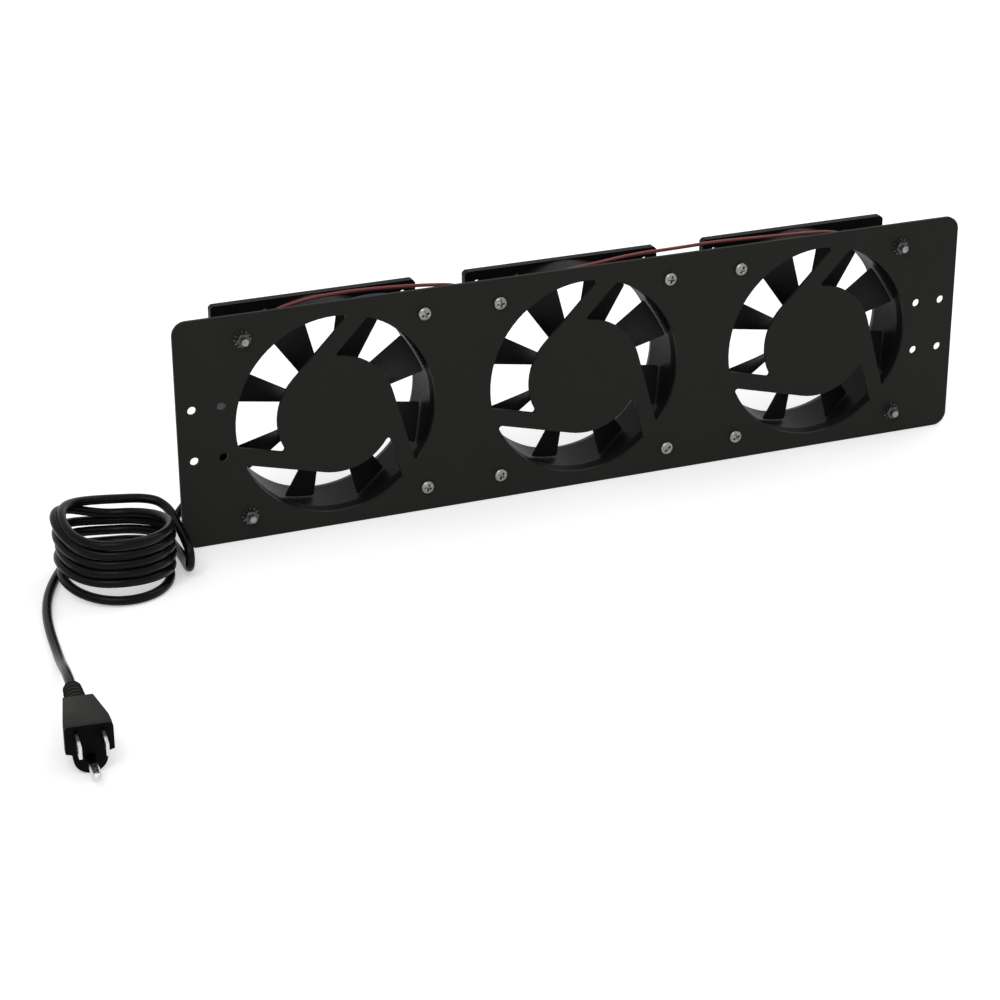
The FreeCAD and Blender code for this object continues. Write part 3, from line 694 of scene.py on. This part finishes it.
def make_corner_nuts():
    """The four hexagon nuts over the toothed washers, with chamfered corners."""
    low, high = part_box("corner_nuts")
    front, rear = low[1] / MM, high[1] / MM
    half = nut_across_flats / 2
    crown = half * nut_chamfer_share
    profile = [(None, front + nut_chamfer), (None, rear - nut_chamfer), (crown, rear), (screw_radius, rear),
               (screw_radius, front), (crown, front)]

    def hexagon(angle):
        return half / math.cos((angle + math.pi / 6) % (math.pi / 3) - math.pi / 6)

    def build(shape):
        angles = [2 * math.pi * index / nut_segments for index in range(nut_segments)]
        for x, z in nut_places:
            rings = []
            for radius, y in profile:
                reach = [(radius or hexagon(angle), angle) for angle in angles]
                places = [((x + r * math.sin(a)) * MM, y * MM, (z + r * math.cos(a)) * MM) for r, a in reach]
                rings.append([shape.verts.new(place) for place in places])
            join_rings(shape, rings)

    mesh = to_mesh("corner_nuts_chamfered", build)
    shade(mesh, nut_sharp_angle)
    piece = add_piece("corner_nuts_chamfered", mesh, "dark_washer")
    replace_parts(piece, "corner_nuts")


def make_frames():
    """The fan frames with the nearly square flange corners of a casting."""
    for name in fan_names:
        node = frame["nodes"]["fan_frame_" + name]
        low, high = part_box("fan_frame_" + name)
        centre = (low[0] + high[0]) / 2
        mesh = node.data.copy()
        mesh.transform(node.matrix_world)
        for vert in mesh.vertices:
            side = Vector((vert.co.x - centre, vert.co.z))
            away = Vector((abs(side.x), abs(side.y))) - Vector((1, 1)) * flange_corner_start * MM
            inside = away.length < flange_corner_inner_share * flange_corner_wide * MM
            if inside or min(away) < -flange_corner_slack * MM:
                continue
            grown = min(flange_corner_wide * MM * away.length / max(away), flange_corner_reach * MM)
            away *= grown / away.length - 1
            vert.co.x += math.copysign(away.x, side.x)
            vert.co.z += math.copysign(away.y, side.y)
        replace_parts(add_piece("fan_frame_cast_" + name, mesh, "frame_paint"), "fan_frame_" + name)


# ---------------------------------------------------------------- plug
def make_plug():
    """The moulded body with softened edges, and raised bands round its strain relief."""
    node = frame["nodes"]["plug_body"]

    def soften(shape):
        shape.from_mesh(node.data)
        shape.transform(node.matrix_world)
        bmesh.ops.remove_doubles(shape, verts=shape.verts, dist=0.000001)
        bmesh.ops.dissolve_limit(shape, angle_limit=math.radians(1), verts=shape.verts, edges=shape.edges)
        sharp = [edge for edge in shape.edges
                 if len(edge.link_faces) == 2 and edge.calc_face_angle() > math.radians(plug_sharp_angle)]
        bmesh.ops.bevel(shape, geom=sharp, offset=plug_edge_round * MM, segments=3, profile=0.5,
                        affect="EDGES", clamp_overlap=True)

    mesh = to_mesh("plug_shell", soften)
    shade(mesh, plug_sharp_angle)
    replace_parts(add_piece("plug_shell", mesh, "plug_plastic"), "plug_body")

    curve = bpy.data.curves.new("relief_bands", "CURVE")
    curve.dimensions = "3D"
    curve.bevel_depth = relief_band_radius * MM
    curve.bevel_resolution = 3
    heading = Vector(relief_heading)
    across = heading.cross(Vector((0, 0, 1)))
    for index in range(int(relief_length / relief_band_pitch)):
        ahead = relief_band_pitch * (index + 0.5)
        radius = relief_rear_radius + (relief_front_radius - relief_rear_radius) * ahead / relief_length
        spline = curve.splines.new("POLY")
        spline.points.add(relief_band_segments - 1)
        spline.use_cyclic_u = True
        for step, point in enumerate(spline.points):
            angle = 2 * math.pi * step / relief_band_segments
            offset = across * math.cos(angle) + Vector((0, 0, math.sin(angle)))
            point.co = (*((Vector(relief_rear) + heading * ahead + offset * radius) * MM), 1)
    add_piece("relief_bands", curve, "plug_plastic")


# ---------------------------------------------------------------- studio
def make_camera():
    """The photographic viewpoint, in front, to the left and above."""
    camera = bpy.data.cameras.new("camera")
    camera.lens = camera_lens
    camera.sensor_width = camera_sensor
    camera.clip_start, camera.clip_end = camera_clip
    camera_object = bpy.data.objects.new("camera", camera)
    bpy.context.collection.objects.link(camera_object)
    back = camera_right.cross(camera_up).normalized()
    turn = Matrix((camera_right, camera_up, back)).transposed().to_4x4()
    camera_object.matrix_world = Matrix.Translation(camera_place) @ turn
    bpy.context.scene.camera = camera_object


def set_strength(tree, cast_strength, seen_strength, socket):
    """A strength that is one value for the light cast on the object and another where it is seen."""
    path = tree.nodes.new("ShaderNodeLightPath")
    seen = path.outputs["Is Camera Ray"]
    for other in ("Is Glossy Ray", "Is Transmission Ray"):
        either = tree.nodes.new("ShaderNodeMath")
        either.operation = "MAXIMUM"
        tree.links.new(seen, either.inputs[0])
        tree.links.new(path.outputs[other], either.inputs[1])
        seen = either.outputs["Value"]
    blend = tree.nodes.new("ShaderNodeMapRange")
    blend.inputs["To Min"].default_value = cast_strength
    blend.inputs["To Max"].default_value = seen_strength
    tree.links.new(seen, blend.inputs["Value"])
    tree.links.new(blend.outputs["Result"], socket)


def make_world():
    """Even white surroundings: seen as white, and a softer light on the object."""
    world = bpy.data.worlds.new("studio")
    world.use_nodes = True
    tree = world.node_tree
    background = tree.nodes["Background"]
    background.inputs["Color"].default_value = (1, 1, 1, 1)
    set_strength(tree, world_cast, world_seen, background.inputs["Strength"])
    bpy.context.scene.world = world
    bpy.context.scene.view_settings.view_transform = "Standard"


def make_floor():
    """A white floor that keeps a soft shadow."""
    mesh = to_mesh("floor", lambda shape: bmesh.ops.create_grid(shape, x_segments=1, y_segments=1,
                                                                size=floor_half_size))
    floor = bpy.data.objects.new("floor", mesh)
    bpy.context.collection.objects.link(floor)
    floor.location.z = floor_height - floor_drop
    material, tree, shader, _ = new_material("floor_white")
    shader.inputs["Base Color"].default_value = floor_colour
    shader.inputs["Roughness"].default_value = 0.9
    shader.inputs["Specular IOR Level"].default_value = 0.0
    shader.inputs["Emission Color"].default_value = (1, 1, 1, 1)
    set_strength(tree, floor_glow_cast, floor_glow_seen, shader.inputs["Emission Strength"])
    mesh.materials.append(material)


def add_area_light(name, place, target, size, power):
    """A soft square lamp that looks at a point."""
    light = bpy.data.lights.new(name, "AREA")
    light.size = size
    light.energy = power
    lamp = bpy.data.objects.new(name, light)
    bpy.context.collection.objects.link(lamp)
    lamp.location = place
    lamp.rotation_mode = "QUATERNION"
    lamp.rotation_quaternion = (Vector(target) - Vector(place)).to_track_quat("-Z", "Y")


# ---------------------------------------------------------------- scene
materials = make_materials()
dress_cad_nodes()
make_camera()
make_world()
make_floor()
for lamp_name, lamp_place, lamp_size, lamp_power in lamps:
    add_area_light(lamp_name, lamp_place, lamp_target, lamp_size, lamp_power)
cord, cord_exit = make_cord()
make_rotors()
make_screws()
make_corner_nuts()
make_plug()
make_frames()
